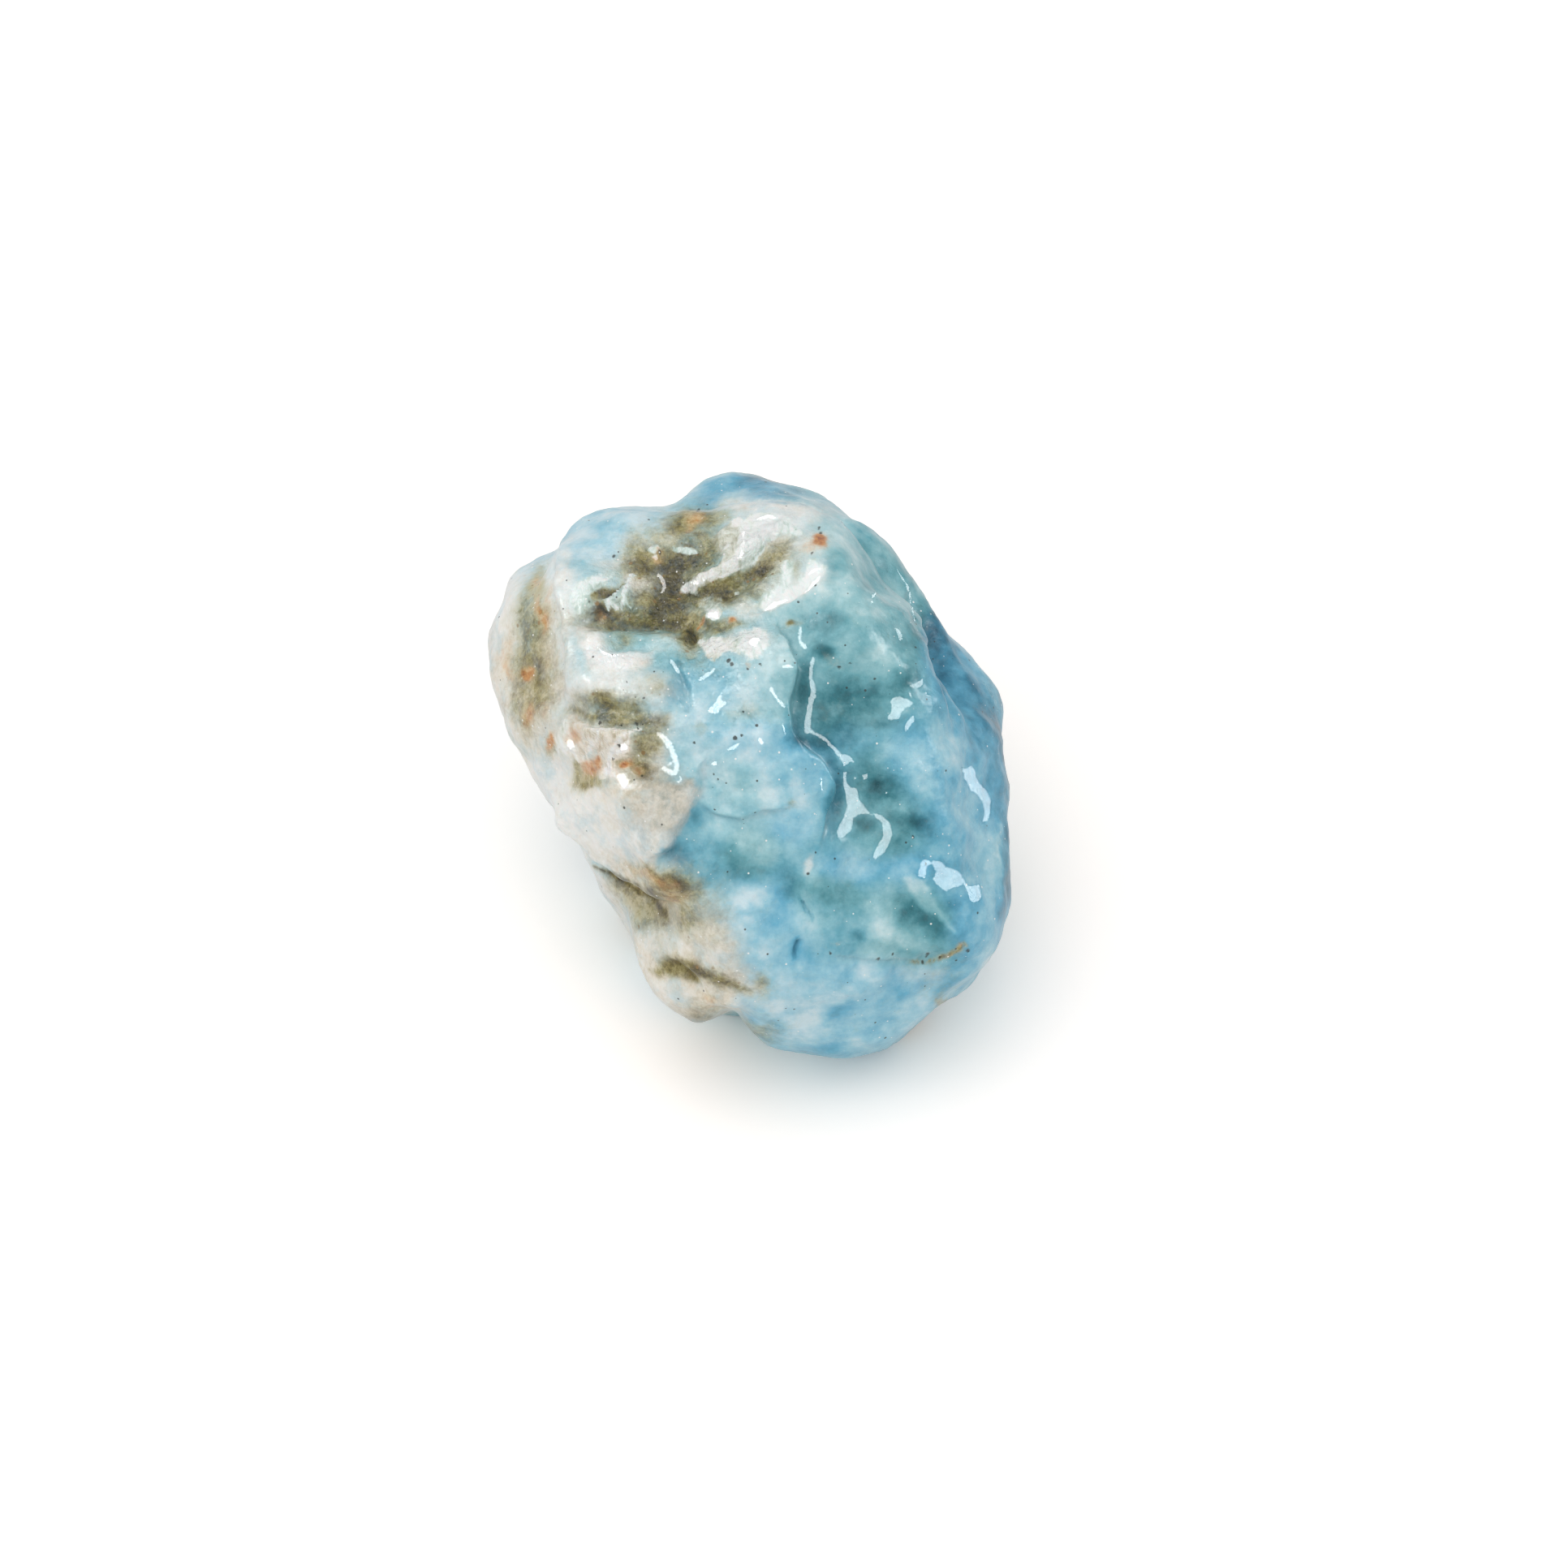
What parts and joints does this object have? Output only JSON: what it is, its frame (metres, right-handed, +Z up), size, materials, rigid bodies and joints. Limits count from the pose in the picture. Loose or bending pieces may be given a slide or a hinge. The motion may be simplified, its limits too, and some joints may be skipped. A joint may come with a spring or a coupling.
{
  "type": "raw larimar stone",
  "caption": "Raw water-smoothed larimar stone, a rounded irregular lump with a broad stepped face, lying on a flat of its underside.",
  "frame": {"origin": "on the flat resting face of the underside, straight below the middle of the broad face's centre axis, a little to the side of the stone's centre of mass", "axes": "+Z up, out of the ground; +X to the right across the broad face; +Y away from the side that the broad face leans towards"},
  "size_m": [0.0323, 0.0334, 0.0289],
  "materials": {
    "larimar": "wet, glossy, mottled sky blue and teal with white, olive and rust patches"
  },
  "bodies": {
    "root": {"larimar_stone": "larimar"}
  },
  "joints": []
}
